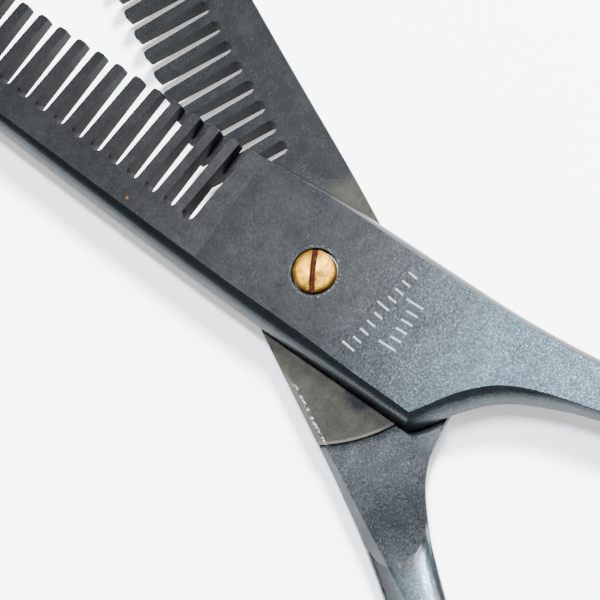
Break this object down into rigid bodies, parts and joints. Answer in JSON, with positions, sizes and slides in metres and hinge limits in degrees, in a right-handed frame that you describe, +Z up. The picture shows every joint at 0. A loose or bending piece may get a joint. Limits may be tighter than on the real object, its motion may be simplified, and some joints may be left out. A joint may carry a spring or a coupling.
{
  "type": "thinning shears",
  "caption": "Black-coated hair thinning shears with teeth on both blades, two finger rings, a brass pivot screw and a curved finger rest, opened a little.",
  "frame": {"origin": "on the pivot axis, at the flat underside the shears lie on", "axes": "+Z up along the pivot axis, towards the screw head; +Y towards the blade tips, midway between the two opened blades; +X to the right seen from above"},
  "size_m": [0.0962, 0.1562, 0.0062],
  "materials": {
    "coated_steel": "dark gunmetal coating, satin, worn to bare metal along the edges",
    "coated_handle": "dark gunmetal coating, satin, finely speckled",
    "brass": "turned, lightly tarnished",
    "spring_steel": "plain spring steel",
    "nylon": "plain nylon",
    "liner_rubber": "soft matt black rubber",
    "bumper_rubber": "matt black rubber"
  },
  "bodies": {
    "finger_half": {"finger_blade": "coated_steel", "finger_handle": "coated_handle", "threaded_bush": "brass", "friction_washer": "nylon", "finger_rest": "coated_handle", "finger_ring_liner": "liner_rubber"},
    "thumb_half": {"thumb_blade": "coated_steel", "thumb_handle": "coated_handle", "stop_bumper": "bumper_rubber", "thumb_ring_liner": "liner_rubber", "spring_washer": "spring_steel"},
    "tension_screw": {"pivot_screw": "brass"}
  },
  "joints": [
    {"name": "pivot", "type": "hinge", "parent": "finger_half", "child": "thumb_half", "pos_m": [0, 0, 0.0028], "axis": [0, 0, 1], "range_deg": [-26, 64]},
    {"name": "screw_turn", "type": "hinge", "parent": "finger_half", "child": "tension_screw", "pos_m": [0, 0, 0.0028], "axis": [0, 0, 1], "range_deg": [-45, 45]}
  ]
}
